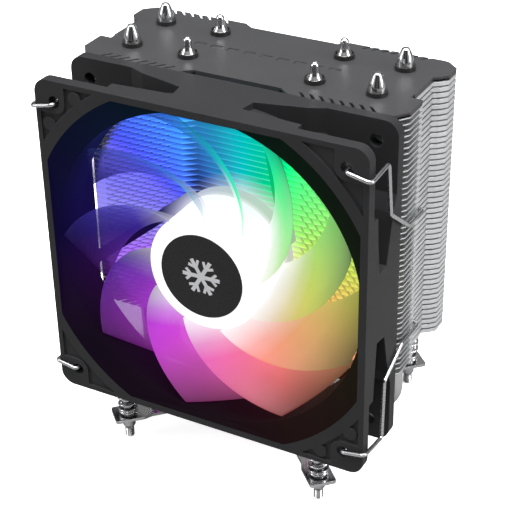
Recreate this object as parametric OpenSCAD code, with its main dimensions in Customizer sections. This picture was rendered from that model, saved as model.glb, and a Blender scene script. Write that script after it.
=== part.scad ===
// Single-tower CPU air cooler with one 120 mm fan, in millimetres.
// Origin: centre of the cold plate's contact face. +Z is up and the fan faces -Y.

/* [Fan] */
// Width and height of the square fan frame
fan_size = 120; // [118:0.5:122]
// Depth of the fan frame, front to back
fan_depth = 25; // [24:0.5:26]
// Height of the fan's axis above the contact face
fan_z = 80.5; // [79.5:0.5:82]
// Radius of the air duct through the fan frame
duct_r = 57.2; // [56.8:0.1:57.6]
// Radius of the flared front opening in the corners
mouth_r = 65; // [63:0.5:66]
// Distance between the fan's mounting holes
fan_holes = 105; // [105:0.5:106]
// Number of fan blades
blade_count = 9; // [7:1:11]
// Radius of the blade tips
blade_tip_r = 56.3; // [54:0.1:56.6]
// Outer radius of the rotor hub
hub_r = 21; // [20:0.5:22]

/* [Fin stack] */
// Number of fins
fin_count = 48; // [40:2:48]
// Height from one fin to the next
fin_pitch = 2.02; // [2.0:0.01:2.02]
// Thickness of one fin sheet
fin_thick = 0.4; // [0.3:0.05:0.5]
// Height of the lowest fin
fin_low_z = 43.4; // [42:0.2:43.4]
// Half width of the fin stack
fin_half_w = 60; // [59:0.5:60]
// Thickness of the top cover sheet
cover_thick = 0.9; // [0.7:0.1:1.2]
// Height of the cover's top face
cover_top_z = 140.5; // [140.5:0.5:142]

/* [Heat pipes] */
// Radius of the heat pipes
pipe_r = 3; // [2.8:0.1:3]
// Distance between pipes in the base
pipe_pitch = 7.3; // [7:0.1:7.6]
// Inner leg distance from the middle
inner_leg_x = 23.5; // [23:0.5:24]
// Outer leg distance from the middle
outer_leg_x = 45.3; // [44:0.1:46]
// Radius of the bends at the base
bend_r = 10; // [9:0.5:10.5]
// Radius of the slight sideways bends in each leg
jog_r = 12; // [11:0.5:13]
// Front row position of the legs in the fins
front_row_y = -12; // [-13:0.5:-11]
// Rear row position of the legs in the fins
rear_row_y = 10; // [9:0.5:11]
// Height of the pipe tips above the cover
tip_h = 7.5; // [6:0.5:8]

/* [Base and mounting] */
// Side of the square cold plate
plate_size = 40; // [38:1:44]
// Thickness of the cold plate up to the pipe centres
plate_thick = 4.5; // [4:0.1:5]
// Half spacing of the mounting screws
screw_half = 39; // [38:0.5:40]
// Underside height of the mounting arms
arm_z = 5.5; // [5.2:0.1:5.8]
// Thickness of the mounting arms
arm_thick = 1.2; // [1:0.1:1.4]
// Radius of the spring screw's body
screw_r = 2.35; // [2.2:0.05:2.5]
// Radius of the spring screw's thread
thread_r = 1.5; // [1.4:0.05:1.6]
// Height of the screw head's underside
head_z = 19.7; // [19.2:0.1:20.2]

/* [Fan clips] */
// Diameter of the clip wire
wire_d = 1.4; // [1.2:0.1:1.6]
// How far the clip wire stands outside the fan's side
wire_out = 1; // [0.9:0.1:1.4]

/* [Hidden] */
$fn = 64;

fan_front_y = -49;
fan_rear_y = fan_front_y + fan_depth;
fan_half = fan_size / 2;
hole_half = fan_holes / 2;
flange_t = 4;
mouth_depth = 3;
outlet_depth = 7;
mouth_side = fan_half - 2.7;
rim_r = mouth_r + 4.1;
plate_r = 22;
hub_front = fan_depth - 1.5;
hub_back = 5;

fin_front_y = fan_rear_y;
fin_rear_y = fan_rear_y + 46;
fin_hole_r = pipe_r + 0.02;
fold_h = fin_pitch - fin_thick - 0.57;
panel_x = fin_half_w - 4;
row_y = [front_row_y, rear_row_y];
leg_x = [-outer_leg_x, -inner_leg_x, inner_leg_x, outer_leg_x];

pipe_z = plate_thick;
jog_low_z = 20;
jog_high_z = 36;
arm_top = arm_z + arm_thick;
block_half_x = 13;
block_half_y = 14.5;
block_top = 11;
ledge_y = 21;
bolt_x = 7.5;
bolt_y = (block_half_y + ledge_y) / 2;

spring_wire = 0.5;
spring_low_r = 3.05;
spring_high_r = 3.4;
head_r = 4;
head_h = 3;
ring_t = 0.6;
ring_top = arm_z - 0.05;
tip_z = -3.9;

sleeve_l = 0.1;
sleeve_t = 0.01;
wire_r = wire_d / 2;
wire_x = fan_half + wire_out;
hook_y = fan_front_y - 1.1;
slot_y = -7.8;
slot_x = 57.2;

// ---------- helpers ----------

module fan_space() {
  translate([0, fan_rear_y, fan_z]) rotate([90, 0, 0]) children();
}

module round_square(size, r) {
  square([size - 2 * r, size], center = true);
  square([size, size - 2 * r], center = true);
  for (sx = [-1, 1], sy = [-1, 1])
    translate([sx * (size / 2 - r), sy * (size / 2 - r)]) circle(r);
}

module tube(outer, inner, h) {
  difference() {
    cylinder(r = outer, h = h);
    translate([0, 0, -1]) cylinder(r = inner, h = h + 2);
  }
}

function unit(v) = v / norm(v);
function turn(points, i) = i == 0 || i == len(points) - 1 ? 0
  : acos(unit(points[i] - points[i - 1]) * unit(points[i + 1] - points[i]));
function setback(points, i, bends) = bends[i] * tan(turn(points, i) / 2);

module rod(a, b, r) {
  v = b - a;
  across = sqrt(v[0] * v[0] + v[1] * v[1]);
  translate(a)
    rotate([0, atan2(across, v[2]), atan2(v[1], v[0])])
      cylinder(r = r, h = norm(v));
}

// Ring-shaped corner at point p, from direction u to direction v, with a sleeve at each end.
module elbow(p, u, v, bend, r) {
  angle = acos(u * v);
  back = bend * tan(angle / 2);
  n = unit(v - (u * v) * u);
  c = p - back * u + bend * n;
  z = cross(-n, u);
  multmatrix([[-n[0], u[0], z[0], c[0]], [-n[1], u[1], z[1], c[1]], [-n[2], u[2], z[2], c[2]]])
    rotate_extrude(angle = angle) translate([bend, 0]) circle(r);
  rod(p - (back + 2 * sleeve_l) * u, p - (back - sleeve_l) * u, r + sleeve_t);
  rod(p + (back - sleeve_l) * v, p + (back + 2 * sleeve_l) * v, r + sleeve_t);
}

// Round wire or pipe through the points, each corner bent to its radius in bends.
// The straights stop just short of the corners; the thin sleeves join them.
module wire(points, r, bends) {
  last = len(points) - 1;
  for (i = [0 : last - 1]) {
    u = unit(points[i + 1] - points[i]);
    gap_a = i == 0 ? 0 : sleeve_l;
    gap_b = i + 1 == last ? 0 : sleeve_l;
    rod(points[i] + (setback(points, i, bends) + gap_a) * u,
      points[i + 1] - (setback(points, i + 1, bends) + gap_b) * u, r);
  }
  for (i = [1 : last - 1])
    elbow(points[i], unit(points[i] - points[i - 1]), unit(points[i + 1] - points[i]),
      bends[i], r);
}

// ---------- fan frame ----------

// Flush wall between the flanges, seen from above: x across, y from the rear face forward.
module wall_plan() {
  d = fan_depth;
  polygon([[-34, d - 3], [34, d - 3], [34, d - 7], [12.4, d - 8.7], [13.3, d - 14.6],
    [30.2, d - 18.6], [38, 3], [-38, 3], [-30.2, d - 18.6], [-13.3, d - 14.6],
    [-12.4, d - 8.7], [-34, d - 7]]);
}

module corner_pockets() {
  boss = fan_half - hole_half + 4.1;
  difference() {
    square(2 * (fan_half - 1.8), center = true);
    circle(rim_r);
    for (sx = [-1, 1], sy = [-1, 1]) {
      translate([sx * (fan_half - boss + 4), sy * (fan_half - boss + 4)]) circle(4);
      translate([sx * (fan_half - boss / 2 + 2), sy * (fan_half - boss / 2)])
        square([boss - 4, boss], center = true);
      translate([sx * (fan_half - boss / 2), sy * (fan_half - boss / 2 + 2)])
        square([boss, boss - 4], center = true);
    }
    for (s = [-1, 1]) {
      translate([s * 55.2, -s * 44.3]) circle(2.4);
      translate([s * 44.3, -s * 55.2]) circle(2.4);
    }
  }
}

module fan_frame() {
  slope = (mouth_r - duct_r) / mouth_depth;
  rear_slope = (mouth_r - duct_r) / outlet_depth;
  color("dimgray") fan_space() {
    difference() {
      union() {
        intersection() {
          cylinder(r1 = mouth_r + 2, r2 = duct_r + 2, h = outlet_depth);
          linear_extrude(outlet_depth) square(fan_size - 0.4, center = true);
        }
        linear_extrude(flange_t) round_square(fan_size, 5);
        translate([0, 0, fan_depth - flange_t])
          linear_extrude(flange_t) round_square(fan_size, 5);
        cylinder(r = duct_r + 2, h = fan_depth);
        for (a = [0 : 90 : 270]) rotate([0, 0, a])
          translate([0, fan_half, 0]) rotate([90, 0, 0])
            linear_extrude(15) wall_plan();
      }
      translate([0, 0, -1]) cylinder(r = duct_r, h = fan_depth + 2);
      intersection() {
        translate([0, 0, fan_depth - mouth_depth])
          cylinder(r1 = duct_r, r2 = mouth_r + slope, h = mouth_depth + 1);
        translate([0, 0, fan_depth])
          cube([2 * mouth_side, 2 * mouth_side, 3 * mouth_depth], center = true);
      }
      intersection() {
        translate([0, 0, -1])
          cylinder(r1 = mouth_r + rear_slope, r2 = duct_r, h = outlet_depth + 1);
        cube([2 * mouth_side, 2 * mouth_side, 3 * outlet_depth], center = true);
      }
      for (sx = [-1, 1], sy = [-1, 1])
        translate([sx * hole_half, sy * hole_half, -1]) cylinder(r = 2.15, h = fan_depth + 2);
      translate([0, 0, fan_depth - 0.8]) linear_extrude(2) corner_pockets();
      translate([-1.8, -fan_half - 1, 1.6]) cube([3.6, 4.2, 3]);
    }
    difference() {
      union() {
        translate([0, 0, 0.4]) cylinder(r = plate_r, h = 2);
        translate([0, 0, 0.4]) tube(plate_r, plate_r - 1.2, 3.4);
        intersection() {
          translate([0, 0, 0.4]) cylinder(r = mouth_r + 0.8, h = 3);
          cube([2 * fan_half - 2, 2 * fan_half - 2, 10], center = true);
          union() {
            for (a = [0, 120, 240]) rotate([0, 0, a])
              translate([-17, 14.5, 0]) rotate([0, 0, 220]) translate([0, -2, 0])
                cube([60, 4, 6]);
            translate([-3.5, -duct_r - 2, 0]) cube([7, 37, 6]);
          }
        }
        translate([0, 0, 2]) cylinder(r = 4.5, h = 16);
      }
      translate([0, 0, 2.4]) cylinder(r = 3.25, h = 20);
      translate([-1.8, -duct_r - 4, 1.6]) cube([3.6, 36, 6]);
      for (s = [-1, 1]) translate([s * 9, 9, -1]) cylinder(r = 1.2, h = 6);
    }
  }
}

module fan_label() {
  color("whitesmoke") fan_space() translate([0, 0, 0.25]) cylinder(r = 17, h = 0.15);
}

// ---------- motor ----------

module fan_board() {
  color("darkgreen") fan_space() {
    translate([0, 0, 4.3]) difference() {
      cylinder(r = 15.8, h = 1);
      translate([0, 0, -1]) cylinder(r = 4.6, h = 3);
    }
    translate([-11, -2, 5.3]) cube([4, 4, 0.9]);
    translate([7.5, -5, 5.3]) cube([2, 1.3, 0.8]);
  }
}

module fan_leds() {
  color("white") fan_space()
    for (a = [30 : 60 : 330]) rotate([0, 0, a])
      translate([12, -1.2, 5.3]) cube([2.8, 2.4, 0.9]);
}

module bearing_sleeve() {
  color("goldenrod") fan_space() translate([0, 0, 4]) tube(3.23, 1.55, 13.6);
}

module stator_core() {
  color("lightsteelblue") fan_space() translate([0, 0, 8]) linear_extrude(6) {
    difference() {
      circle(8);
      circle(4.55);
    }
    intersection() {
      difference() {
        circle(15.5);
        circle(14);
      }
      for (a = [0 : 60 : 300]) rotate(a) translate([10, -5.5]) square([10, 11]);
    }
    for (a = [0 : 60 : 300]) rotate(a) translate([7.5, -1.5]) square([7.2, 3]);
  }
}

module stator_coils() {
  color("peru") fan_space()
    for (a = [0 : 60 : 300]) rotate([0, 0, a]) translate([8.6, 0, 11]) difference() {
      translate([0, -2.9, -4.3]) cube([5.1, 5.8, 8.6]);
      translate([-1, -1.55, -3.05]) cube([8, 3.1, 6.1]);
    }
}

module rotor_hub() {
  round_r = 3;
  color("white") fan_space() difference() {
    union() {
      rotate_extrude() difference() {
        union() {
          translate([0, hub_back]) square([hub_r, hub_front - hub_back - round_r]);
          translate([0, hub_back]) square([hub_r - round_r, hub_front - hub_back]);
          translate([hub_r - round_r, hub_front - round_r]) circle(round_r);
        }
        translate([0, hub_back - 1]) square([hub_r - 1.5, hub_front - hub_back - 0.6]);
      }
      translate([0, 0, 18.3]) cylinder(r = 3.4, h = hub_front - 18.6);
    }
    translate([0, 0, 10]) cylinder(r = 1.51, h = 12.3);
  }
}

// Point on a blade: s along the radius, t along the chord, side 0 rear face and 1 front face.
function blade_point(s, t, side) =
  let (r = hub_r - 0.1 + s * (blade_tip_r - hub_r + 0.1))
  let (angle = 24 + 50 * s + (36 - 8 * s) * (t - 0.5))
  let (rise = 22.6 - 1.2 * s - 17.6 * (t + 0.09 * sin(180 * t)) + 0.8 * s * t)
  let (thick = (1.9 - 0.7 * s) * (0.35 + 0.65 * sin(180 * t)))
  [r * cos(angle), r * sin(angle), rise + (side - 0.5) * thick];

module blade() {
  m = 8;
  n = 10;
  points = [for (side = [0, 1], i = [0 : m], j = [0 : n]) blade_point(i / m, j / n, side)];
  b = (m + 1) * (n + 1);
  w = n + 1;
  rear = [for (i = [0 : m - 1], j = [0 : n - 1], k = [0, 1])
    k == 0 ? [i * w + j, (i + 1) * w + j + 1, (i + 1) * w + j]
           : [i * w + j, i * w + j + 1, (i + 1) * w + j + 1]];
  front = [for (f = rear) [f[2] + b, f[1] + b, f[0] + b]];
  root = [for (j = [0 : n - 1], k = [0, 1])
    k == 0 ? [j, b + j + 1, j + 1] : [j, b + j, b + j + 1]];
  tip = [for (j = [0 : n - 1], k = [0, 1])
    k == 0 ? [m * w + j, m * w + j + 1, b + m * w + j + 1]
           : [m * w + j, b + m * w + j + 1, b + m * w + j]];
  lead = [for (i = [0 : m - 1], k = [0, 1])
    k == 0 ? [i * w, (i + 1) * w, b + (i + 1) * w] : [i * w, b + (i + 1) * w, b + i * w]];
  trail = [for (i = [0 : m - 1], k = [0, 1])
    k == 0 ? [i * w + n, b + (i + 1) * w + n, (i + 1) * w + n]
           : [i * w + n, b + i * w + n, b + (i + 1) * w + n]];
  polyhedron(points, concat(rear, front, root, tip, lead, trail));
}

module fan_blades() {
  color("lavender") fan_space()
    for (i = [0 : blade_count - 1]) rotate([0, 0, i * 360 / blade_count]) blade();
}

module hub_badge() {
  color("black") fan_space() translate([0, 0, hub_front]) cylinder(r = 15.3, h = 0.3);
}

module hub_mark() {
  color("silver") fan_space() translate([0, 0, hub_front + 0.3]) linear_extrude(0.1) {
    for (a = [0 : 60 : 300]) rotate(a) {
      translate([0, -0.7]) square([7, 1.4]);
      for (s = [-1, 1]) translate([3.6, 0]) rotate(45 * s) translate([0, -0.5]) square([3, 1]);
    }
  }
}

module yoke_ring() {
  color("gray") fan_space() translate([0, 0, 5.6]) tube(hub_r - 1.53, hub_r - 2.5, 13);
}

module magnet_ring() {
  color("black") fan_space() translate([0, 0, 6]) tube(hub_r - 2.52, 16.1, 11);
}

module motor_shaft() {
  color("silver") fan_space() difference() {
    translate([0, 0, 2.6]) cylinder(r = 1.5, h = 19.6);
    translate([0, 0, 3.2]) tube(3, 1.2, 0.4);
  }
}

module shaft_clip() {
  color("gray") fan_space() translate([0, 0, 3.25]) tube(2.6, 1.22, 0.3);
}

// ---------- fins and cover ----------

// One side of a sheet's outline from the front middle round to the rear middle.
// shift moves the saw cuts along the edge so that neighbouring fins differ.
function sheet_half(shift) = concat(
  [[0, fin_front_y + 3], [16, fin_front_y + 3], [20, fin_front_y]],
  [for (i = [0 : 7], p = [0 : 3])
    let (x = 25 + shift + 3.47 * i)
    p == 0 ? [x - 0.1, fin_front_y] : p == 1 ? [x - 2.6, fin_front_y + 2.8]
    : p == 2 ? [x - 1.3, fin_front_y + 2.8] : [x + 1.2, fin_front_y]],
  [[56.5, fin_front_y], [fin_half_w - 0.2, fin_front_y + 4.5], [fin_half_w - 0.2, -9.6],
   [panel_x - 0.4, -9.6], [panel_x - 0.4, -7.2], [panel_x, -7], [panel_x, 8],
   [58, 9.3], [fin_half_w, 11.6], [fin_half_w, 18], [56, fin_rear_y - 0.4],
   [54, fin_rear_y]],
  [for (i = [6 : -1 : 0], p = [0 : 3])
    let (x = 27.5 + shift + 3.5 * i)
    p == 0 ? [x + 1.2, fin_rear_y] : p == 1 ? [x - 1.3, fin_rear_y - 2.6]
    : p == 2 ? [x - 2.6, fin_rear_y - 2.6] : [x - 0.1, fin_rear_y]],
  [[20, fin_rear_y], [16.5, fin_rear_y - 2.6], [0, fin_rear_y - 2.6]]);

module sheet_plan(shift) {
  difference() {
    for (s = [0, 1]) mirror([s, 0]) polygon(sheet_half(shift));
    for (x = leg_x, y = row_y) translate([x, y]) circle(fin_hole_r);
  }
}

// Folded edges that hang from each fin along its sides and front corners.
module fold_plan() {
  t = fin_thick;
  for (s = [0, 1]) mirror([s, 0]) {
    translate([52.6, fin_front_y]) square([3.9, t]);
    translate([fin_half_w - 0.2 - t, -12]) square([t, 2.4]);
    translate([panel_x - t, -7]) square([t, 15]);
    polygon([[panel_x, 8], [58, 9.3], [fin_half_w, 11.6], [fin_half_w, 18],
      [fin_half_w - t, 18], [fin_half_w - t, 11.8], [57.7, 9.6], [panel_x - t, 8.3],
      [panel_x - t, 8]]);
  }
}

module fin(index) {
  translate([0, 0, fin_low_z + index * fin_pitch]) {
    linear_extrude(fin_thick) sheet_plan(index % 2 == 0 ? 0 : 1.74);
    translate([0, 0, -fold_h]) linear_extrude(fold_h) fold_plan();
  }
}

module fins_a() {
  color("lightgray") for (i = [0 : 2 : fin_count - 1]) fin(i);
}

module fins_b() {
  color("silver") for (i = [1 : 2 : fin_count - 1]) fin(i);
}

module top_cover() {
  color("darkslategray") {
    difference() {
      translate([0, 0, cover_top_z - cover_thick]) linear_extrude(cover_thick) sheet_plan(0);
      for (i = [-4 : 4]) translate([6.3 * i - 2.1, -2, cover_top_z - 0.3])
        cube([4.2, 2.4, 1]);
    }
    for (s = [0, 1]) mirror([s, 0, 0]) {
      translate([fin_half_w - 0.9, -19, cover_top_z - 1.6]) cube([0.7, 9, 1]);
      translate([panel_x - 0.7, -6.8, cover_top_z - 1.6]) cube([0.7, 14.6, 1]);
      translate([fin_half_w - 0.7, 11.8, cover_top_z - 1.6]) cube([0.7, 6, 1]);
    }
    translate([-15.5, fin_front_y + 3, cover_top_z - 1.6]) cube([31, 0.7, 1]);
    translate([-16, fin_rear_y - 3.3, cover_top_z - 1.6]) cube([32, 0.7, 1]);
  }
}

// ---------- heat pipes ----------

module bullet_tip() {
  blunt = 1.1;
  arc = ((tip_h - 0.6) * (tip_h - 0.6) + (pipe_r - blunt) * (pipe_r - blunt))
    / (2 * (pipe_r - blunt));
  cylinder(r = pipe_r, h = 0.6);
  translate([0, 0, 0.6]) rotate_extrude() intersection() {
    square([pipe_r, tip_h - 0.6]);
    translate([pipe_r - arc, 0]) circle(arc, $fn = 120);
  }
}

module crimped_tip() {
  cylinder(r = pipe_r - 0.1, h = 1.2);
  translate([0, 0, 1.2]) cylinder(r1 = pipe_r - 0.1, r2 = 1.75, h = 1.6);
  translate([0, 0, 2.8]) cylinder(r1 = 1.75, r2 = 1.5, h = 1.2);
  translate([0, 0, 4]) cylinder(r = 1.5, h = tip_h - 6);
  translate([0, 0, tip_h - 2]) sphere(1.5);
}

// U pipe whose outer leg is on side -1 or +1 and whose base run lies at base_y.
module heat_pipe(outer_side, base_y, leg_y) {
  xo = outer_side * outer_leg_x;
  xi = -outer_side * inner_leg_x;
  path = [
    [xo, leg_y, cover_top_z], [xo, leg_y, jog_high_z], [xo, base_y, jog_low_z],
    [xo, base_y, pipe_z], [xi, base_y, pipe_z],
    [xi, base_y, jog_low_z], [xi, leg_y, jog_high_z], [xi, leg_y, cover_top_z]];
  wire(path, pipe_r, [0, jog_r, jog_r, bend_r, bend_r, jog_r, jog_r, 0]);
  translate([xo, leg_y, cover_top_z]) bullet_tip();
  translate([xi, leg_y, cover_top_z]) crimped_tip();
}

module heat_pipe_1() {
  color("gainsboro") heat_pipe(-1, -1.5 * pipe_pitch, front_row_y);
}

module heat_pipe_2() {
  color("gainsboro") heat_pipe(1, -0.5 * pipe_pitch, front_row_y);
}

module heat_pipe_3() {
  color("gainsboro") heat_pipe(-1, 0.5 * pipe_pitch, rear_row_y);
}

module heat_pipe_4() {
  color("gainsboro") heat_pipe(1, 1.5 * pipe_pitch, rear_row_y);
}

module pipe_collars() {
  color("black") for (x = leg_x, y = row_y)
    translate([x, y, cover_top_z]) tube(pipe_r + 0.45, pipe_r + 0.03, 1.6);
}

// ---------- base ----------

module pipe_grooves() {
  for (i = [-1.5 : 1.5]) translate([-30, i * pipe_pitch, pipe_z]) rotate([0, 90, 0])
    cylinder(r = pipe_r + 0.02, h = 60);
}

module cold_plate() {
  h = plate_size / 2;
  color("silver") difference() {
    linear_extrude(plate_thick) round_square(plate_size, 1.5);
    pipe_grooves();
    for (sx = [-1, 1], sy = [-1, 1])
      translate([sx * bolt_x, sy * bolt_y, 1]) cylinder(r = 1.52, h = h);
  }
}

module clamp_block() {
  color("gainsboro") difference() {
    rotate([90, 0, 90]) translate([0, 0, -block_half_x]) linear_extrude(2 * block_half_x)
      polygon([[-ledge_y, plate_thick], [ledge_y, plate_thick], [ledge_y, arm_z],
        [block_half_y, arm_z], [block_half_y, block_top - 1.5], [block_half_y - 1.5, block_top],
        [1.5 - block_half_y, block_top], [-block_half_y, block_top - 1.5],
        [-block_half_y, arm_z], [-ledge_y, arm_z]]);
    pipe_grooves();
    for (sx = [-1, 1], sy = [-1, 1])
      translate([sx * bolt_x, sy * bolt_y, 1]) cylinder(r = 1.52, h = 10);
  }
}

// Point at distance u along the diagonal and v to its left.
function diagonal(u, v) = [(u - v) / sqrt(2), (u + v) / sqrt(2)];

// One side of a bracket from the bar's middle out to the arm's widened end and back.
function bracket_half() =
  let (reach = screw_half * sqrt(2), inner_y = block_half_y + 0.3, off = 3.75 * sqrt(2))
  [[0, ledge_y], [ledge_y - off, ledge_y], diagonal(reach - 8, 3.75), diagonal(reach - 5, 4.7),
   diagonal(reach + 5, 4.7), diagonal(reach + 5.6, 4.1), diagonal(reach + 5.6, -4.1),
   diagonal(reach + 5, -4.7), diagonal(reach - 5, -4.7), diagonal(reach - 8, -3.75),
   [inner_y + off, inner_y], [0, inner_y]];

module bracket() {
  half = bracket_half();
  last = len(half) - 1;
  mirrored = [for (i = [last - 1 : -1 : 1]) [-half[i][0], half[i][1]]];
  color("whitesmoke") translate([0, 0, arm_z]) linear_extrude(arm_thick) difference() {
    polygon(concat(half, mirrored));
    for (s = [-1, 1]) {
      translate([s * bolt_x, bolt_y]) circle(1.6);
      translate([s * screw_half, screw_half]) circle(screw_r + 0.1);
    }
  }
}

module bracket_front() {
  mirror([0, 1, 0]) bracket();
}

module bracket_rear() {
  bracket();
}

module bracket_screws() {
  color("dimgray") for (sx = [-1, 1], sy = [-1, 1]) translate([sx * bolt_x, sy * bolt_y, 0]) {
    translate([0, 0, 1.2]) cylinder(r = thread_r, h = arm_top - 1.2);
    difference() {
      translate([0, 0, arm_top]) cylinder(r = 2.7, h = 1.8);
      translate([0, 0, arm_top + 0.7]) cylinder(r = 1.2, h = 2, $fn = 6);
    }
  }
}

// ---------- spring screws ----------

module spring_screw() {
  taper_low = 0.2;
  taper_high = 1.7;
  color("gainsboro") difference() {
    union() {
      translate([0, 0, head_z]) cylinder(r = head_r, h = head_h - 0.6);
      translate([0, 0, head_z + head_h - 0.6]) cylinder(r1 = head_r, r2 = head_r - 0.6, h = 0.6);
      translate([0, 0, taper_high]) cylinder(r = screw_r, h = head_z - taper_high);
      translate([0, 0, taper_low]) cylinder(r1 = thread_r, r2 = screw_r, h = taper_high - taper_low);
      translate([0, 0, tip_z + 0.5]) cylinder(r = thread_r, h = taper_low - tip_z - 0.5);
      translate([0, 0, tip_z]) cylinder(r1 = thread_r - 0.6, r2 = thread_r, h = 0.5);
    }
    translate([0, 0, ring_top - ring_t - 0.05]) tube(5, screw_r - 0.4, ring_t + 0.1);
    for (a = [0, 90]) rotate([0, 0, a])
      translate([-2.4, -0.5, head_z + head_h - 1.6]) cube([4.8, 1, 3]);
  }
}

module retaining_ring() {
  color("dimgray") translate([0, 0, ring_top - ring_t]) difference() {
    tube(screw_r + 0.6, screw_r - 0.38, ring_t);
    translate([1, -1.3, -1]) cube([5, 2.6, 3]);
  }
}

// Rises of the spring's half turns: closed coils at both ends, open ones between.
spring_low_z = arm_top + spring_wire + 0.02;
spring_high_z = head_z - spring_wire - 0.02;
closed = spring_wire + 0.03;
open_rise = (spring_high_z - spring_low_z - 6 * closed) / 6;
rises = [closed, closed, closed, closed, open_rise, open_rise, open_rise, open_rise,
  open_rise, open_rise, closed, closed];

function coil_r(i) = spring_low_r + (spring_high_r - spring_low_r) * i / (len(rises) - 1);
function start_z(i) = i == 0 ? spring_low_z : start_z(i - 1) + rises[i - 1];
function reach(i) = sqrt(coil_r(i) * coil_r(i) - rises[i] * rises[i] / 4);
function side(i) = i % 2 == 0 ? 1 : -1;
function centre_x(i) = i == 0 ? 0
  : centre_x(i - 1) - side(i - 1) * (reach(i - 1) - reach(i));

// Each half turn is a tilted half ring, so the wire is smooth from one to the next.
// The rings stop just short of each other; the thin sleeves join them.
module spring() {
  gap_angle = 1.5;
  color("gainsboro") for (i = [0 : len(rises) - 1])
    translate([centre_x(i), 0, start_z(i) + rises[i] / 2])
      rotate([0, side(i) * asin(rises[i] / (2 * coil_r(i))), 0])
        rotate([0, 0, (side(i) > 0 ? 0 : 180) + gap_angle])
          rotate_extrude(angle = 180 - 2 * gap_angle)
            translate([coil_r(i), 0]) circle(spring_wire, $fn = 24);
  color("gainsboro") for (i = [1 : len(rises) - 1])
    translate([centre_x(i) + side(i) * reach(i), 0.2, start_z(i)])
      rotate([90, 0, 0]) cylinder(r = spring_wire + sleeve_t, h = 0.4);
}

module screw_fl() {
  translate([-screw_half, -screw_half, 0]) spring_screw();
}

module screw_fr() {
  translate([screw_half, -screw_half, 0]) spring_screw();
}

module screw_rl() {
  translate([-screw_half, screw_half, 0]) spring_screw();
}

module screw_rr() {
  translate([screw_half, screw_half, 0]) spring_screw();
}

module spring_fl() {
  translate([-screw_half, -screw_half, 0]) spring();
}

module spring_fr() {
  translate([screw_half, -screw_half, 0]) spring();
}

module spring_rl() {
  translate([-screw_half, screw_half, 0]) spring();
}

module spring_rr() {
  translate([screw_half, screw_half, 0]) spring();
}

module ring_fl() {
  translate([-screw_half, -screw_half, 0]) retaining_ring();
}

module ring_fr() {
  translate([screw_half, -screw_half, 0]) retaining_ring();
}

module ring_rl() {
  translate([-screw_half, screw_half, 0]) retaining_ring();
}

module ring_rr() {
  translate([screw_half, screw_half, 0]) retaining_ring();
}

// ---------- fan clips ----------

// Wire from the upper fan hole, round the fan's side, down behind the fins and back below.
module clip() {
  hx = hole_half;
  y0 = hook_y;
  top = fan_z + hole_half - 0.6;
  low = fan_z - hole_half + 0.6;
  path = [
    [hx, y0 + 3.4, top], [hx, y0, top], [wire_x, y0, top - 1.8],
    [wire_x, fan_front_y + 11.5, top - 1], [wire_x, fan_front_y + 14.3, fan_z + 32],
    [wire_x, fan_front_y + 28.4, fan_z + 21.3], [wire_x - 0.2, slot_y, fan_z + 20.6],
    [slot_x, slot_y, fan_z + 20.2], [slot_x, slot_y, fan_z - 23],
    [wire_x - 0.2, slot_y, fan_z - 23.4], [wire_x, fan_front_y + 27.3, fan_z - 23.4],
    [wire_x, fan_front_y + 13.4, fan_z - 29.8], [wire_x, fan_front_y + 12.6, low - 0.4],
    [wire_x, y0, low + 1.4], [hx, y0, low], [hx, y0 + 3.4, low]];
  color("gainsboro") wire(path, wire_r, [for (p = path) 1.5]);
}

module clip_left() {
  mirror([1, 0, 0]) clip();
}

module clip_right() {
  clip();
}

fan_frame();
fan_label();
fan_board();
fan_leds();
bearing_sleeve();
stator_core();
stator_coils();
rotor_hub();
fan_blades();
hub_badge();
hub_mark();
magnet_ring();
yoke_ring();
motor_shaft();
shaft_clip();
top_cover();
fins_a();
fins_b();
heat_pipe_1();
heat_pipe_2();
heat_pipe_3();
heat_pipe_4();
pipe_collars();
cold_plate();
clamp_block();
bracket_front();
bracket_rear();
bracket_screws();
screw_fl();
screw_fr();
screw_rl();
screw_rr();
spring_fl();
spring_fr();
spring_rl();
spring_rr();
ring_fl();
ring_fr();
ring_rl();
ring_rr();
clip_left();
clip_right();
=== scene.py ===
import math

import bpy
from mathutils import Matrix, Vector


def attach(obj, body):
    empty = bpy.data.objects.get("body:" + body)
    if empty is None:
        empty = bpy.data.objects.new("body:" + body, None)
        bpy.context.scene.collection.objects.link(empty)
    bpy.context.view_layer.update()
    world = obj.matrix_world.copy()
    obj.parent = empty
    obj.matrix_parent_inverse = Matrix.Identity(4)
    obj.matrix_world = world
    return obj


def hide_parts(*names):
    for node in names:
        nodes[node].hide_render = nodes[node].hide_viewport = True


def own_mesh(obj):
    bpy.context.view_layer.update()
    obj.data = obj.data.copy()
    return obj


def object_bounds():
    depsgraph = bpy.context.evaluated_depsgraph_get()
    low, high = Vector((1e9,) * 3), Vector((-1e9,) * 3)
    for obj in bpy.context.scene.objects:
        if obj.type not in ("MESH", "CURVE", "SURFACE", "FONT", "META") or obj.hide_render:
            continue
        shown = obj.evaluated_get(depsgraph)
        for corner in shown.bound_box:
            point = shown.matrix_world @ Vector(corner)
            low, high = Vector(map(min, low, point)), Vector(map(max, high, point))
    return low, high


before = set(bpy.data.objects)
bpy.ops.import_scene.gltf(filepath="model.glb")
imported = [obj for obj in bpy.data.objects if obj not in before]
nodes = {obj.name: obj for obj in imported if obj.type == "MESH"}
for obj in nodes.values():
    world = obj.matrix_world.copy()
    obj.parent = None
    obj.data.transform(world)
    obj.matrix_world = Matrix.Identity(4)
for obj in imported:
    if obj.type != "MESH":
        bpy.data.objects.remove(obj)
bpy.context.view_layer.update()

# The fan, in metres: its axis runs along Y at height FAN_Z.
FAN_Z = 0.0805
FAN_REAR_Y = -0.024
HUB_R = 0.021
TIP_R = 0.0563
BLADES = 9
BLADE_PHASE = 24

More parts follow.
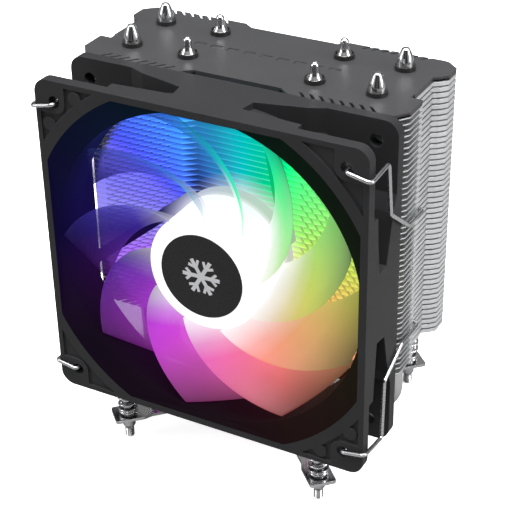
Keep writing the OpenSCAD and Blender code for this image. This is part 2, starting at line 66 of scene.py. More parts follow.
# The spring screws stand on a square; the signs say on which side of X and Y.
SCREWS = {"fl": (-1, -1), "fr": (1, -1), "rl": (-1, 1), "rr": (1, 1)}
SCREW_HALF = 0.039

# The heat pipes, in millimetres: side of the outer leg, and Y of the base run and of the legs.
PIPES = {"heat_pipe_1": (-1, -10.95, -12), "heat_pipe_2": (1, -3.65, -12),
         "heat_pipe_3": (-1, 3.65, 10), "heat_pipe_4": (1, 10.95, 10)}
PIPE_R = 3.0
OUTER_LEG_X = 45.3
INNER_LEG_X = 23.5
COVER_TOP_Z = 140.5
LEG_FOOT_Z = 36
BASE_BEND_Z = 20
BASE_RUN_Z = 4.5


# ---------- camera ----------

def make_camera():
    azimuth, elevation, roll = map(math.radians, (28.97, 30.53, -1.09))
    forward = Vector((-math.sin(azimuth) * math.cos(elevation),
                      math.cos(azimuth) * math.cos(elevation), -math.sin(elevation)))
    level = forward.cross(Vector((0, 0, 1))).normalized()
    right = math.cos(roll) * level + math.sin(roll) * level.cross(forward)
    up = right.cross(forward)
    data = bpy.data.cameras.new("camera")
    data.lens = 105.35
    data.sensor_width = 36
    data.clip_start = 0.02
    data.clip_end = 50
    camera = bpy.data.objects.new("camera", data)
    turned = Matrix((right, up, -forward)).transposed().to_4x4()
    camera.matrix_world = Matrix.Translation((0.2182, -0.4052, 0.3352)) @ turned
    bpy.context.scene.collection.objects.link(camera)
    bpy.context.scene.camera = camera


# ---------- mesh helpers ----------

def mesh_object(name, points, faces, smooth=True):
    mesh = bpy.data.meshes.new(name)
    mesh.from_pydata([tuple(p) for p in points], [], faces)
    mesh.validate()
    mesh.update()
    if smooth:
        mesh.polygons.foreach_set("use_smooth", [True] * len(mesh.polygons))
    thing = bpy.data.objects.new(name, mesh)
    bpy.context.scene.collection.objects.link(thing)
    return thing


def tube_faces(rings, sides, start=0):
    """Quads between successive rings, with a fan of triangles on the pole point at each end."""
    faces = []
    for i in range(rings - 1):
        for j in range(sides):
            a = start + i * sides + j
            b = start + i * sides + (j + 1) % sides
            faces.append((a, b, b + sides, a + sides))
    first, last = start + rings * sides, start + rings * sides + 1
    end = start + (rings - 1) * sides
    for j in range(sides):
        k = (j + 1) % sides
        faces.append((first, start + k, start + j))
        faces.append((last, end + j, end + k))
    return faces


def sweep(path, radii, sides):
    """Closed tube along the path; radii gives each point's radius. Returns points and faces."""
    points = []
    tangents = []
    for i in range(len(path)):
        a, b = path[max(i - 1, 0)], path[min(i + 1, len(path) - 1)]
        tangents.append((b - a).normalized())
    across = tangents[0].orthogonal().normalized()
    for i, centre in enumerate(path):
        if i:
            turn = tangents[i - 1].rotation_difference(tangents[i])
            across = (turn @ across)
            across = (across - across.dot(tangents[i]) * tangents[i]).normalized()
        other = tangents[i].cross(across)
        for j in range(sides):
            angle = 2 * math.pi * j / sides
            points.append(centre + radii[i] * (math.cos(angle) * across + math.sin(angle) * other))
    points.append(path[0])
    points.append(path[-1])
    return points, tube_faces(len(path), sides)


def bent_path(corners, bends, step=0.0012):
    """Points along straight runs whose corners are rounded to the radii in bends."""
    path = []
    for i, corner in enumerate(corners):
        if i == 0 or i == len(corners) - 1:
            path.append(corner)
            continue
        u = (corner - corners[i - 1]).normalized()
        v = (corners[i + 1] - corner).normalized()
        angle = u.angle(v)
        back = bends[i] * math.tan(angle / 2)
        inward = (v - u.dot(v) * u).normalized()
        centre = corner - back * u + bends[i] * inward
        count = max(4, int(math.degrees(angle) / 7))
        for k in range(count + 1):
            part = angle * k / count
            path.append(centre - bends[i] * math.cos(part) * inward + bends[i] * math.sin(part) * u)
    spaced = [path[0]]
    for a, b in zip(path, path[1:]):
        parts = max(1, int((b - a).length / (8 * step)))
        for k in range(1, parts + 1):
            spaced.append(a.lerp(b, k / parts))
    return spaced


def mm(points):
    return [Vector(p) / 1000 for p in points]


# ---------- material helpers ----------

def srgb(r, g, b):
    def one(c):
        return c / 12.92 if c <= 0.04045 else ((c + 0.055) / 1.055) ** 2.4
    return (one(r), one(g), one(b), 1)


class Shader:
    """A node material being put together."""

    def __init__(self, name):
        self.material = bpy.data.materials.new(name)
        self.material.use_nodes = True
        self.tree = self.material.node_tree
        self.bsdf = self.tree.nodes["Principled BSDF"]
        self.output = self.tree.nodes["Material Output"]

    def add(self, kind, **settings):
        node = self.tree.nodes.new("ShaderNode" + kind)
        for key, value in settings.items():
            setattr(node, key, value)
        return node

    def link(self, a, b):
        self.tree.links.new(a, b)

    def math(self, operation, a, b=None):
        node = self.add("Math", operation=operation)
        for socket, value in zip(node.inputs, (a, b)):
            if value is None:
                continue
            if isinstance(value, (int, float)):
                socket.default_value = value
            else:
                self.link(value, socket)
        return node.outputs[0]

    def ramp(self, value, stops, smooth=False):
        node = self.add("ValToRGB")
        node.color_ramp.interpolation = "EASE" if smooth else "LINEAR"
        elements = node.color_ramp.elements
        while len(elements) > 1:
            elements.remove(elements[-1])
        elements[0].position = stops[0][0]
        elements[0].color = stops[0][1]
        for place, colour in stops[1:]:
            elements.new(place).color = colour
        self.link(value, node.inputs[0])
        return node.outputs[0]

    def noise(self, scale, detail=2.0, stretch=(1, 1, 1)):
        coords = self.add("TexCoord")
        mapping = self.add("Mapping")
        mapping.inputs["Scale"].default_value = stretch
        noise = self.add("TexNoise")
        noise.inputs["Scale"].default_value = scale
        noise.inputs["Detail"].default_value = detail
        self.link(coords.outputs["Object"], mapping.inputs["Vector"])
        self.link(mapping.outputs["Vector"], noise.inputs["Vector"])
        return noise.outputs[0]

    def mix(self, factor, a, b):
        node = self.add("Mix", data_type="RGBA")
        self.link(factor, node.inputs[0])
        for socket, value in ((node.inputs[6], a), (node.inputs[7], b)):
            if isinstance(value, tuple):
                socket.default_value = value
            else:
                self.link(value, socket)
        return node.outputs[2]

    def spread(self, value, low, high):
        node = self.add("MapRange")
        node.inputs[1].default_value = 0.3
        node.inputs[2].default_value = 0.7
        node.inputs[3].default_value = low
        node.inputs[4].default_value = high
        self.link(value, node.inputs[0])
        return node.outputs[0]


def surface(name, colour, roughness, metallic=0.0, grain=2500, depth=0.00002, stretch=(1, 1, 1),
            shade=0.08, rough_spread=0.06, edge=0.0003, edge_highlight=None, specular=0.5, lit=None):
    """Material with fine grain, slow shade and gloss changes, and softened edges, which a given
    edge colour lightens as a painted edge highlight.

    lit adds the fan's coloured light to the material and returns its changed tone.
    """
    s = Shader(name)
    slow = s.noise(45, 3)
    fine = s.noise(grain, 3, stretch)
    dark = tuple(c * (1 - shade) for c in colour[:3]) + (1,)
    light = tuple(min(1, c * (1 + shade)) for c in colour[:3]) + (1,)
    tone = s.mix(s.spread(slow, 0, 1), dark, light)
    bevel = s.add("Bevel", samples=4)
    bevel.inputs["Radius"].default_value = edge
    if edge_highlight:
        # Edges are lightened, in patches, towards the given edge colour: a painted edge highlight.
        shape = s.add("NewGeometry")
        dot = s.add("VectorMath", operation="DOT_PRODUCT")
        s.link(shape.outputs["Normal"], dot.inputs[0])
        s.link(bevel.outputs[0], dot.inputs[1])
        highlight_mask = s.math("MULTIPLY", s.math("SUBTRACT", 1.0, dot.outputs["Value"]), 4.0)
        highlight_mask = s.math("MULTIPLY", s.math("MINIMUM", highlight_mask, 1.0), s.spread(s.noise(300, 4), 0.2, 1))
        tone = s.mix(highlight_mask, tone, edge_highlight)
    if lit:
        tone = lit(s, tone)
    s.link(tone, s.bsdf.inputs["Base Color"])
    s.link(s.spread(fine, max(0.02, roughness - rough_spread), roughness + rough_spread),
           s.bsdf.inputs["Roughness"])
    bump = s.add("Bump")
    bump.inputs["Strength"].default_value = 0.4
    bump.inputs["Distance"].default_value = depth
    s.link(fine, bump.inputs["Height"])
    s.link(bevel.outputs[0], bump.inputs["Normal"])
    s.link(bump.outputs[0], s.bsdf.inputs["Normal"])
    s.bsdf.inputs["Metallic"].default_value = metallic
    s.bsdf.inputs["Specular IOR Level"].default_value = specular
    return s.material


# ---------- the fan's light ----------

# The light is painted: it depends on the angle round the fan's axis, the distance from it and
# the depth along it, and it stays where it is while the rotor turns.
GLOW_R = 0.06
FIN_FRONT_Y = -0.0232

# degrees from +X, anticlockwise when facing the fan, and the light's colour there
WHEEL = [
    (0, (0.75, 0.8, 0.35)),     # yellow green
    (60, (0.0, 0.95, 0.55)),    # green
    (90, (0.0, 0.8, 0.8)),      # teal
    (120, (0.25, 0.55, 0.95)),  # blue
    (150, (0.3, 0.3, 0.9)),     # indigo
    (180, (0.3, 0.2, 0.8)),     # violet
    (240, (0.8, 0.25, 0.85)),   # magenta
    (300, (1.0, 0.5, 0.5)),     # coral
]


def fan_polar(s):
    """Angle round the fan's axis as 0 to 1 from -X, and the distance from the axis in metres."""
    geometry = s.add("NewGeometry")
    parts = s.add("SeparateXYZ")
    s.link(geometry.outputs["Position"], parts.inputs[0])
    x = parts.outputs["X"]
    z = s.math("SUBTRACT", parts.outputs["Z"], FAN_Z)
    angle = s.math("ARCTAN2", z, x)
    around = s.math("ADD", s.math("DIVIDE", angle, 2 * math.pi), 0.5)
    reach = s.math("SQRT", s.math("ADD", s.math("MULTIPLY", x, x), s.math("MULTIPLY", z, z)))
    return around, reach


def wheel_colour(s, around):
    stops = []
    for degrees, colour in WHEEL:
        place = ((degrees + 180) % 360) / 360
        stops.append((place, srgb(*colour)))
    stops.append((1.0, srgb(*dict(WHEEL)[180])))
    return s.ramp(around, sorted(stops))


def grey(v):
    return (v, v, v, 1)


def by_angle(s, around, levels):
    """A grey level that changes round the fan's axis.

    levels are (degrees from +X, level), and one of them is at 180, where the ramp ends meet.
    """
    stops = [(((degrees + 180) % 360) / 360, grey(level)) for degrees, level in levels]
    stops.append((1.0, grey(dict(levels)[180])))
    return s.ramp(around, sorted(stops), smooth=True)


def depth_fade(s, near, far, end):
    """1 at the depth near, changing to end at the depth far, both along the fan's axis."""
    geometry = s.add("NewGeometry")
    parts = s.add("SeparateXYZ")
    s.link(geometry.outputs["Position"], parts.inputs[0])
    node = s.add("MapRange")
    for socket, value in zip(node.inputs[1:5], (near, far, 1.0, end)):
        socket.default_value = value
    s.link(parts.outputs["Y"], node.inputs[0])
    return node.outputs[0]


def fin_light(s, tone):
    """Painted light of the fan on the fins' front edges, inside the duct's circle: a glow, and a
    base colour in the light's hue that turns dark blue deeper in as painted shade.
    """
    around, reach = fan_polar(s)
    hue = wheel_colour(s, around)
    place = s.math("DIVIDE", reach, GLOW_R)
    inside = s.ramp(place, [(0.0, grey(1)), (0.94, grey(1)), (0.97, grey(0))])
    white = s.ramp(place, [(0.28, grey(0.9)), (0.36, grey(0.3)), (0.42, grey(0.0))])
    pale = by_angle(s, around, [(0, 0.0), (145, 0.0), (160, 0.12), (180, 0.2), (200, 0.1),
                                (240, 0.0)])
    white = s.math("MAXIMUM", white, pale)
    turn = by_angle(s, around, [(0, 0.85), (70, 0.9), (110, 1.25), (140, 1.15), (180, 1.15),
                                (200, 1.25), (225, 1.05), (270, 0.8)])
    fill = by_angle(s, around, [(0, 0.85), (85, 0.8), (110, 0.45), (140, 0.1), (180, 0.06),
                                (225, 0.1), (270, 0.6)])
    fade = depth_fade(s, FIN_FRONT_Y, -0.02, 0.0)
    front = s.math("MULTIPLY", inside, depth_fade(s, -0.0185, -0.0175, 0.0))
    level = s.math("MULTIPLY", turn, s.math("MAXIMUM", fade, fill))
    level = s.math("MULTIPLY", front, level)
    s.link(s.mix(white, hue, (1, 1, 1, 1)), s.bsdf.inputs["Emission Color"])
    s.link(level, s.bsdf.inputs["Emission Strength"])
    # The fins' colour takes the light's hue at the front and a dark blue deeper in: painted light
    # and painted shade.
    painted_hue_and_shade = s.mix(fade, (0.03, 0.04, 0.12, 1), hue)
    return s.mix(s.math("MULTIPLY", front, 0.9), tone, painted_hue_and_shade)


def duct_light(s, tone):
    """Painted light of the fan on its own frame: a faintly lit duct, brighter struts and plate; the
    duct's inside is darkened as painted shade.
    """
    open_half, duct_r, strut_r = 0.05745, 0.058, 0.0565
    mouth_y, mouth_slope, rear_y = -0.0462, 2.5, -0.031
    around, reach = fan_polar(s)
    geometry = s.add("NewGeometry")
    parts = s.add("SeparateXYZ")
    s.link(geometry.outputs["Position"], parts.inputs[0])
    depth = parts.outputs["Y"]
    aside = s.math("ABSOLUTE", parts.outputs["X"])
    above = s.math("ABSOLUTE", s.math("SUBTRACT", parts.outputs["Z"], FAN_Z))
    open_square = s.math("LESS_THAN", s.math("MAXIMUM", aside, above), open_half)
    mouth = s.math("MULTIPLY", s.math("SUBTRACT", mouth_y, depth), mouth_slope)
    flare = s.math("MAXIMUM", mouth, s.math("SUBTRACT", depth, rear_y))
    limit = s.math("ADD", duct_r, s.math("MAXIMUM", flare, 0.0))
    inside = s.math("MULTIPLY", open_square, s.math("LESS_THAN", reach, limit))
    turn = by_angle(s, around, [(0, 0.01), (45, 0.006), (90, 0.006), (135, 0.02), (180, 0.035),
                                (225, 0.008), (270, 0.006), (315, 0.01)])
    wall = s.math("MULTIPLY", turn, depth_fade(s, -0.049, -0.034, 2.5))
    struts = s.math("MULTIPLY", by_angle(s, around, [(0, 0.6), (60, 0.6), (90, 0.4), (140, 0.1),
                                                     (180, 0.04), (230, 0.1), (270, 0.5)]),
                    s.math("LESS_THAN", reach, strut_r))
    place = s.math("DIVIDE", reach, GLOW_R)
    halo = s.ramp(place, [(0.34, grey(0.85)), (0.4, grey(0.5)), (0.5, grey(0.0))])
    level = s.math("MAXIMUM", s.math("MAXIMUM", wall, struts), halo)
    s.link(s.mix(halo, wheel_colour(s, around), (1, 1, 1, 1)), s.bsdf.inputs["Emission Color"])
    s.link(s.math("MULTIPLY", inside, level), s.bsdf.inputs["Emission Strength"])
    # Inside the duct the gloss is weaker and the colour darker: painted shade.
    s.link(s.math("MULTIPLY", s.math("SUBTRACT", 1.05, inside), 0.13),
           s.bsdf.inputs["Specular IOR Level"])
    return s.mix(inside, tone, srgb(0.035, 0.035, 0.04))


def blade_material():
    """Partly clear blades with a painted glow.

    Glow and clearness change with the place round the axis and don't turn with the blades,
    which gives the look of a fan blurred by turning.
    """
    s = Shader("blade_glow")
    around, reach = fan_polar(s)
    hue = wheel_colour(s, around)
    place = s.math("DIVIDE", reach, GLOW_R)
    white = s.ramp(place, [(0.34, grey(0.95)), (0.42, grey(0.6)), (0.5, grey(0.2)),
                           (0.58, grey(0))])
    strength = s.ramp(place, [(0.33, grey(1.0)), (0.6, grey(1.0)), (0.7, grey(0.85)),
                              (0.8, grey(0.6)), (0.9, grey(0.32)), (0.95, grey(0.16))])
    turn = by_angle(s, around, [(0, 1.0), (80, 0.95), (110, 0.6), (150, 0.45), (180, 0.4),
                                (205, 0.6), (235, 1.05)])
    clouds = s.spread(s.noise(60, 3), 0.94, 1.06)
    tint = s.mix(white, hue, (1, 1, 1, 1))
    s.link(tint, s.bsdf.inputs["Emission Color"])
    s.link(s.math("MULTIPLY", strength, s.math("MULTIPLY", clouds, turn)),
           s.bsdf.inputs["Emission Strength"])
    s.link(s.mix(s.spread(s.noise(90, 2), 0, 1), grey(0.008), grey(0.012)),
           s.bsdf.inputs["Base Color"])
    s.bsdf.inputs["Specular IOR Level"].default_value = 0.12
    s.link(s.spread(s.noise(3000, 3), 0.3, 0.42), s.bsdf.inputs["Roughness"])
    bump = s.add("Bump")
    bump.inputs["Strength"].default_value = 0.2
    bump.inputs["Distance"].default_value = 0.00001
    s.link(s.noise(2500, 2), bump.inputs["Height"])
    s.link(bump.outputs[0], s.bsdf.inputs["Normal"])
    clear = s.add("BsdfTransparent")
    clear.inputs[0].default_value = (0.9, 0.88, 0.95, 1)
    share = s.add("MixShader")
    see = by_angle(s, around, [(0, 0.12), (70, 0.15), (100, 0.55), (150, 0.6), (170, 0.3),
                               (180, 0.2), (200, 0.35), (225, 0.3), (245, 0.12)])
    s.link(s.math("MULTIPLY", see, s.spread(s.noise(70, 2), 0.9, 1.1)), share.inputs[0])
    s.link(s.bsdf.outputs[0], share.inputs[1])
    s.link(clear.outputs[0], share.inputs[2])
    s.link(share.outputs[0], s.output.inputs["Surface"])
    return s.material


def hub_material():
    # The hub's white glow is painted light.
    s = Shader("hub_glow")
    s.link(s.mix(s.spread(s.noise(120, 2), 0, 1), (0.97, 0.98, 1, 1), (1, 0.99, 1, 1)),
           s.bsdf.inputs["Emission Color"])
    s.link(s.spread(s.noise(80, 2), 0.72, 0.78), s.bsdf.inputs["Emission Strength"])
    s.link(s.mix(s.spread(s.noise(60, 2), 0, 1), grey(0.5), grey(0.56)),
           s.bsdf.inputs["Base Color"])
    s.link(s.spread(s.noise(2500, 2), 0.3, 0.4), s.bsdf.inputs["Roughness"])
    return s.material


# ---------- fan blades ----------

def blade_section(s, t):
    """Centre of a blade's sheet at s along the radius and t along the chord, and its thickness."""
    sunk = 0.0001
    sweep_deg, chord_deg, narrowing_deg = 50, 36, 8
    front, tip_back, fall, bow, twist = 22.6, 1.2, 17.6, 0.09, 0.8
    root_thick, thinning, edge_share = 1.9, 0.7, 0.35
    r = (HUB_R - sunk) + s * (TIP_R - HUB_R + sunk)
    angle = math.radians(BLADE_PHASE + sweep_deg * s + (chord_deg - narrowing_deg * s) * (t - 0.5))
    rise = front - tip_back * s - fall * (t + bow * math.sin(math.pi * t)) + twist * s * t
    thick = (root_thick - thinning * s) * (edge_share + (1 - edge_share) * math.sin(math.pi * t))
    edge = max(0.0, 1 - (2 * t - 1) ** 18) ** 0.5
    end = max(0.0, 1 - max(0.0, (s - 0.96) / 0.04) ** 2) ** 0.5
    return r, angle, rise / 1000, thick * edge * max(end, 0.15) / 1000


def make_blades():
    m, n = 22, 26
    chord = [0.5 - 0.5 * math.cos(math.pi * j / n) for j in range(n + 1)]
    spans = [1 - (1 - i / m) ** 1.3 for i in range(m + 1)]
    loop = [(t, -0.5) for t in chord] + [(t, 0.5) for t in reversed(chord[1:-1])]
    points, faces = [], []
    for blade in range(BLADES):
        start = len(points)
        turn = 2 * math.pi * blade / BLADES
        for s in spans:
            for t, side in loop:
                r, angle, rise, thick = blade_section(s, t)
                rise += side * thick
                points.append((r * math.cos(angle + turn), FAN_REAR_Y - rise,
                               FAN_Z + r * math.sin(angle + turn)))
        sides = len(loop)
        for i in range(m):
            for j in range(sides):
                a = start + i * sides + j
                b = start + i * sides + (j + 1) % sides
                faces.append((a, b, b + sides, a + sides))
        for ring, flip in ((0, True), (m, False)):
            base = start + ring * sides
            for j in range(n):
                low, low_next = base + j, base + j + 1
                high = base + (sides - j) % sides
                high_next = base + sides - j - 1 if j < n - 1 else base + n
                face = [low, low_next, high_next, high]
                face = list(dict.fromkeys(face))
                if len(face) > 2:
                    faces.append(tuple(reversed(face)) if flip else tuple(face))
    blades = mesh_object("glow_blades", points, faces)
    blades.data.materials.append(blade_material())
    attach(blades, "rotor")
    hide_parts("fan_blades")
    return blades


# ---------- springs, pipes, clips, threads ----------

def make_spring(corner):
    """Spring round a screw, in half turns: closed coils at both ends and open ones between."""
    sx, sy = SCREWS[corner]
    closed, opened = 0.53, 1.4635
    rises = [closed] * 4 + [opened] * 6 + [closed] * 2
    per, sides, wire_r = 14, 12, 0.0005
    foot_r, widening = 3.05, 0.35
    path = []
    z = 7.22
    for i, rise in enumerate(rises):
        for k in range(per + (i == len(rises) - 1)):
            part = k / per
            radius = foot_r + widening * (i + part) / len(rises)
            angle = math.pi * (i + part)
            path.append(Vector((radius * math.cos(angle), radius * math.sin(angle),
                                z + rise * part)) / 1000)
        z += rise
    middle = Vector((sx * SCREW_HALF, sy * SCREW_HALF, 0))
    path = [p + middle for p in path]
    points, faces = sweep(path, [wire_r] * len(path), sides)
    spring = mesh_object("coil_" + corner, points, faces)
    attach(spring, "root")
    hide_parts("spring_" + corner)
    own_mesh(spring)
    return spring


def make_thread(corner):
    """Ridge of a screw's thread, which runs out into the shank at both ends."""
    sx, sy = SCREWS[corner]
    points, faces = [], []
    turns, per, pitch = 7.2, 20, 0.0005
    foot_z, root_r, crest, flank = -0.0035, 0.00145, 0.00022, 0.00021
    run_out = 8
    count = int(turns * per)
    for i in range(count + 1):
        angle = 2 * math.pi * i / per
        z = foot_z + pitch * i / per
        fade = min(1, i / run_out, (count - i) / run_out)
        for radius, dz in ((root_r, -flank), (root_r + crest * fade, 0), (root_r, flank)):
            points.append((sx * SCREW_HALF + radius * math.cos(angle),
                           sy * SCREW_HALF + radius * math.sin(angle), z + dz))
    for i in range(count):
        for j in range(3):
            a, b = 3 * i + j, 3 * i + (j + 1) % 3
            faces.append((a, a + 3, b + 3, b))
    faces.append((0, 1, 2))
    faces.append((3 * count + 2, 3 * count + 1, 3 * count))
    thread = mesh_object("thread_" + corner, points, faces, smooth=False)
    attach(thread, "turn_" + corner)
    return thread


def bullet(height):
    """Radius of the pointed pipe end at a height above the cover, in millimetres."""
    straight, taper, narrowing = 0.6, 6.9, 1.9
    if height <= straight:
        return PIPE_R
    arc = (taper ** 2 + narrowing ** 2) / (2 * narrowing)
    return PIPE_R - arc + math.sqrt(arc ** 2 - (height - straight) ** 2)


def crimped(height):
    """Radius of the crimped pipe end at a height above the cover, in millimetres."""
    neck_r, neck_top = 1.5, 5.5
    stops = [(0, 2.9), (0.9, 2.9), (1.3, 2.75), (2.7, 1.85), (3.1, 1.7), (4, 1.52),
             (neck_top, neck_r)]
    if height > neck_top:
        return math.sqrt(max(0.0, neck_r ** 2 - (height - neck_top) ** 2))
    for (a, ra), (b, rb) in zip(stops, stops[1:]):
        if height <= b:
            return ra + (rb - ra) * (height - a) / (b - a)
    return neck_r


def make_pipe(name):
    """One bent pipe from its pointed outer tip, through the base, to its crimped inner tip."""
    side, base_y, leg_y = PIPES[name]
    xo, xi = side * OUTER_LEG_X, -side * INNER_LEG_X
    corners = mm([(xo, leg_y, COVER_TOP_Z), (xo, leg_y, LEG_FOOT_Z), (xo, base_y, BASE_BEND_Z),
                  (xo, base_y, BASE_RUN_Z), (xi, base_y, BASE_RUN_Z), (xi, base_y, BASE_BEND_Z),
                  (xi, leg_y, LEG_FOOT_Z), (xi, leg_y, COVER_TOP_Z)])
    leg_bend, base_bend = 0.012, 0.01
    path = bent_path(corners, [0, leg_bend, leg_bend, base_bend, base_bend, leg_bend, leg_bend, 0])
    radii = [PIPE_R / 1000] * len(path)
    outer_heights = [0.2 + 0.36 * i for i in range(20)] + [7.3, 7.5]
    inner_heights = [0, 0.3, 0.9, 1.3, 1.6, 2, 2.4, 2.7, 3.1, 3.5, 4, 4.5, 5, 5.5,
                     5.8, 6.1, 6.4, 6.6, 6.8, 6.9, 6.96]
    outer = [(Vector((xo, leg_y, COVER_TOP_Z + h)) / 1000, bullet(h) / 1000)
             for h in outer_heights]
    inner = [(Vector((xi, leg_y, COVER_TOP_Z + h)) / 1000, crimped(h) / 1000)
             for h in inner_heights]
    inner[0] = (Vector((xi, leg_y, 140.52)) / 1000, 0.0029)
    outer[-1] = (outer[-1][0], 0.0008)
    path = [p for p, r in reversed(outer)] + path + [p for p, r in inner]
    radii = [r for p, r in reversed(outer)] + radii + [r for p, r in inner]
    points, faces = sweep(path, radii, 40)
    pipe = mesh_object("smooth_" + name, points, faces)
    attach(pipe, "root")
    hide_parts(name)
    return pipe


def make_clip(side, word):
    """Wire clip from its upper hook to its lower one; side is 1 for right and -1 for left."""
    corners = mm([(52.5, -46.7, 132.4), (52.5, -50.1, 132.4), (61, -50.1, 130.6),
                  (61, -37.5, 131.4), (61, -34.7, 112.5), (61, -20.6, 101.8),
                  (60.8, -7.8, 101.1), (57.2, -7.8, 100.7), (57.2, -7.8, 57.5),
                  (60.8, -7.8, 57.1), (61, -21.7, 57.1), (61, -35.6, 50.7),
                  (61, -36.4, 28.2), (61, -50.1, 30), (52.5, -50.1, 28.6),
                  (52.5, -46.7, 28.6)])
    bend_r, wire_r, tip_r, chamfer = 0.0015, 0.0007, 0.00055, 0.00015
    path = bent_path(corners, [bend_r] * len(corners))
    first = (path[1] - path[0]).normalized() * chamfer
    last = (path[-2] - path[-1]).normalized() * chamfer
    path = [path[0], path[0] + first] + path[1:-1] + [path[-1] + last, path[-1]]
    radii = [tip_r] + [wire_r] * (len(path) - 2) + [tip_r]
    path = [Vector((side * p.x, p.y, p.z)) for p in path]
    points, faces = sweep(path, radii, 16)
    clip = mesh_object("wire_" + word, points, faces)
    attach(clip, word + "_clip")
    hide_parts("clip_" + word)
    return clip


# ---------- materials on the parts ----------

def paint(names, material):
    for name in names:
        thing = nodes[name]
        thing.data.materials.clear()
        thing.data.materials.append(material)


def paint_all():
    """Give each carried-over part its material; returns those of the rebuilt metal pieces."""
    # The lighter edge colours given to fan_black, cover_coating and blacked_steel paint an edge
    # highlight.
    plastic = surface("fan_black", srgb(0.15, 0.15, 0.155), 0.5, grain=1800, depth=0.00004,
                      shade=0.06, edge=0.0004, edge_highlight=srgb(0.26, 0.26, 0.27), specular=0.35,
                      lit=duct_light)
    cover = surface("cover_coating", srgb(0.2, 0.2, 0.205), 0.42, grain=2600,
                    depth=0.00003, shade=0.06, edge=0.0002, edge_highlight=srgb(0.33, 0.33, 0.34),
                    specular=0.3)
    fins = surface("fin_sheet", (0.74, 0.75, 0.76, 1), 0.38, metallic=1.0, grain=900,
                   depth=0.000006, stretch=(1, 12, 1), shade=0.05, edge=0.0001, lit=fin_light)
    nickel = surface("pipe_plating", (0.66, 0.66, 0.67, 1), 0.1, metallic=1.0, grain=1400,
                     depth=0.000004, stretch=(1, 1, 0.2), shade=0.04, rough_spread=0.04)
    bracket = surface("bracket_plating", (0.6, 0.6, 0.61, 1), 0.16, metallic=1.0, grain=1200,
                      depth=0.000006, stretch=(1, 0.3, 1), shade=0.05, edge=0.0002)
    screw = surface("screw_plating", (0.58, 0.58, 0.59, 1), 0.18, metallic=1.0, grain=2000,
                    depth=0.000006, shade=0.06, edge=0.0001)
    spring = surface("spring_wire", (0.52, 0.52, 0.53, 1), 0.2, metallic=1.0, grain=2500,
                     depth=0.000004, shade=0.08)
    wire = surface("clip_wire_plating", (0.45, 0.45, 0.46, 1), 0.25, metallic=1.0, grain=2500,
                   depth=0.000003, shade=0.05)
    plate = surface("plate_ground", (0.75, 0.75, 0.76, 1), 0.14, metallic=1.0, grain=500,
                    depth=0.000004, stretch=(1, 20, 1), shade=0.04, edge=0.0002)
    block = surface("block_metal", (0.7, 0.71, 0.72, 1), 0.3, metallic=1.0, grain=900,
                    depth=0.00001, stretch=(1, 8, 1), shade=0.06, edge=0.0003)
    black = surface("blacked_steel", srgb(0.12, 0.12, 0.12), 0.35, grain=2200,
                    depth=0.00001, shade=0.1, edge=0.0001, edge_highlight=srgb(0.4, 0.4, 0.4))
    badge = surface("badge_film", srgb(0.12, 0.12, 0.12), 0.3, grain=1500, depth=0.000004,
                    shade=0.06, edge=0.0001, specular=0.15)
    mark = surface("badge_print", srgb(0.72, 0.72, 0.73), 0.35, grain=1500, depth=0.000004,
                   shade=0.05, edge=0.00005)
    label = surface("label_film", srgb(0.78, 0.78, 0.78), 0.45, grain=1500, depth=0.00001)
    board = surface("board_lacquer", srgb(0.08, 0.3, 0.16), 0.35, grain=1200, depth=0.00001)
    lens = surface("led_body", srgb(0.95, 0.95, 0.9), 0.3, grain=1500, depth=0.00001)
    bronze = surface("sleeve_bronze", (0.6, 0.42, 0.2, 1), 0.35, metallic=1.0)
    steel = surface("core_steel", (0.5, 0.5, 0.52, 1), 0.4, metallic=1.0, stretch=(1, 8, 1))
    copper = surface("winding", (0.75, 0.33, 0.15, 1), 0.3, metallic=1.0, stretch=(1, 1, 8))
    magnet = surface("magnet_rubber", srgb(0.15, 0.15, 0.15), 0.6)
    paint(["fan_frame"], plastic)
    paint(["top_cover"], cover)
    paint(["fins_a", "fins_b"], fins)
    paint(["bracket_front", "bracket_rear"], bracket)
    paint(["cold_plate"], plate)
    paint(["clamp_block"], block)
    paint(["bracket_screws", "pipe_collars"] + ["ring_" + c for c in SCREWS], black)
    paint(["screw_" + c for c in SCREWS], screw)
    paint(["hub_badge"], badge)
    paint(["hub_mark"], mark)
    paint(["rotor_hub"], hub_material())
    paint(["fan_label"], label)
    paint(["fan_board"], board)
    paint(["fan_leds"], lens)
    paint(["bearing_sleeve"], bronze)
    paint(["stator_core", "motor_shaft", "shaft_clip", "yoke_ring"], steel)
    paint(["stator_coils"], copper)
    paint(["magnet_ring"], magnet)
    return nickel, wire, spring, screw


# ---------- studio ----------

def make_floor():
    low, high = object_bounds()
    size = 3.0
    floor = mesh_object("floor", [(-size, -size, low.z), (size, -size, low.z),
                                  (size, size, low.z), (-size, size, low.z)], [(0, 1, 2, 3)])
    s = Shader("floor_paper")
    s.link(s.mix(s.spread(s.noise(8, 2), 0, 1), grey(0.86), grey(0.88)),
           s.bsdf.inputs["Base Color"])
    s.link(s.spread(s.noise(40, 2), 0.7, 0.8), s.bsdf.inputs["Roughness"])
    s.bsdf.inputs["Specular IOR Level"].default_value = 0.1
    s.bsdf.inputs["Emission Color"].default_value = (1, 1, 1, 1)
    s.bsdf.inputs["Emission Strength"].default_value = 0.8
    dim = s.add("BsdfDiffuse")
    dim.inputs["Color"].default_value = grey(0.3)
    seen = s.add("LightPath")
    share = s.add("MixShader")
    s.link(seen.outputs["Is Camera Ray"], share.inputs[0])
    s.link(dim.outputs[0], share.inputs[1])
    s.link(s.bsdf.outputs[0], share.inputs[2])
    s.link(share.outputs[0], s.output.inputs["Surface"])
    floor.data.materials.append(s.material)


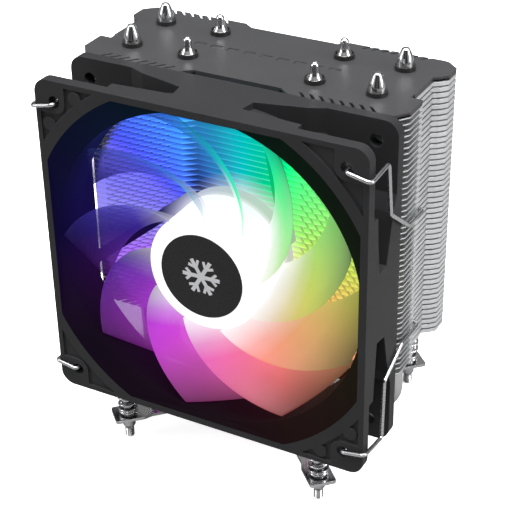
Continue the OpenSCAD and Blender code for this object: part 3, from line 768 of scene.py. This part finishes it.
def area_light(name, place, target, size, power):
    data = bpy.data.lights.new(name, "AREA")
    data.shape = "RECTANGLE"
    data.size, data.size_y = size
    data.energy = power
    lamp = bpy.data.objects.new(name, data)
    lamp.location = place
    aim = Vector(target) - Vector(place)
    lamp.rotation_euler = aim.to_track_quat("-Z", "Y").to_euler()
    bpy.context.scene.collection.objects.link(lamp)


def make_world():
    """White to the camera, even for soft light; reflections see panels with dark gaps."""
    world = bpy.data.worlds.new("studio")
    bpy.context.scene.world = world
    world.use_nodes = True
    tree = world.node_tree
    add, link = tree.nodes.new, tree.links.new
    room = tree.nodes["Background"]
    coords = add("ShaderNodeTexCoord")
    parts = add("ShaderNodeSeparateXYZ")
    link(coords.outputs["Generated"], parts.inputs[0])
    flip = add("ShaderNodeMath")
    flip.operation = "MULTIPLY"
    flip.inputs[1].default_value = -1
    link(parts.outputs["Y"], flip.inputs[0])
    angle = add("ShaderNodeMath")
    angle.operation = "ARCTAN2"
    link(parts.outputs["X"], angle.inputs[0])
    link(flip.outputs[0], angle.inputs[1])
    around = add("ShaderNodeMapRange")
    around.inputs[1].default_value = -math.pi
    around.inputs[2].default_value = math.pi
    link(angle.outputs[0], around.inputs[0])
    panels = add("ShaderNodeValToRGB")
    levels = [(-180, 0.4), (-130, 0.2), (-105, 0.04), (-85, 0.5), (-60, 0.9), (-30, 0.7),
              (-12, 0.06), (14, 0.04), (20, 0.3), (26, 0.04), (50, 0.04), (62, 0.6), (90, 0.9),
              (115, 0.7), (150, 0.1), (180, 0.4)]
    elements = panels.color_ramp.elements
    elements.remove(elements[-1])
    elements[0].position = 0
    elements[0].color = grey(levels[0][1])
    for degrees, level in levels[1:]:
        elements.new((degrees + 180) / 360).color = grey(level)
    link(around.outputs[0], panels.inputs[0])
    height = add("ShaderNodeMapRange")
    height.interpolation_type = "SMOOTHSTEP"
    height.inputs[1].default_value = 0.55
    height.inputs[2].default_value = 0.8
    link(parts.outputs["Z"], height.inputs[0])
    whole = add("ShaderNodeMix")
    whole.data_type = "RGBA"
    link(height.outputs[0], whole.inputs[0])
    link(panels.outputs[0], whole.inputs[6])
    whole.inputs[7].default_value = (1, 1, 1, 1)
    link(whole.outputs[2], room.inputs["Color"])
    room.inputs["Strength"].default_value = 0.8
    even = add("ShaderNodeBackground")
    even.inputs["Color"].default_value = (0.98, 0.99, 1, 1)
    even.inputs["Strength"].default_value = 0.35
    plain = add("ShaderNodeBackground")
    plain.inputs["Color"].default_value = (1, 1, 1, 1)
    plain.inputs["Strength"].default_value = 1.0
    path = add("ShaderNodeLightPath")
    soft = add("ShaderNodeMixShader")
    link(path.outputs["Is Diffuse Ray"], soft.inputs[0])
    link(room.outputs[0], soft.inputs[1])
    link(even.outputs[0], soft.inputs[2])
    choose = add("ShaderNodeMixShader")
    link(path.outputs["Is Camera Ray"], choose.inputs[0])
    link(soft.outputs[0], choose.inputs[1])
    link(plain.outputs[0], choose.inputs[2])
    link(choose.outputs[0], tree.nodes["World Output"].inputs["Surface"])


def make_studio():
    make_world()
    middle = (0, -0.01, 0.08)
    area_light("top_soft", (0.1, -0.2, 1.2), middle, (0.9, 0.9), 32)
    area_light("left_strip", (-0.9, -0.7, 0.6), middle, (0.25, 0.9), 4)
    area_light("right_strip", (1.0, 0.1, 0.5), middle, (0.3, 0.9), 7)
    view = bpy.context.scene.view_settings
    view.view_transform = "Standard"
    view.look = "None"


make_camera()
nickel, wire, spring_steel, screw_metal = paint_all()
make_blades()
for corner in SCREWS:
    make_spring(corner).data.materials.append(spring_steel)
    make_thread(corner).data.materials.append(screw_metal)
for pipe_name in PIPES:
    make_pipe(pipe_name).data.materials.append(nickel)
make_clip(1, "right").data.materials.append(wire)
make_clip(-1, "left").data.materials.append(wire)
make_floor()
make_studio()
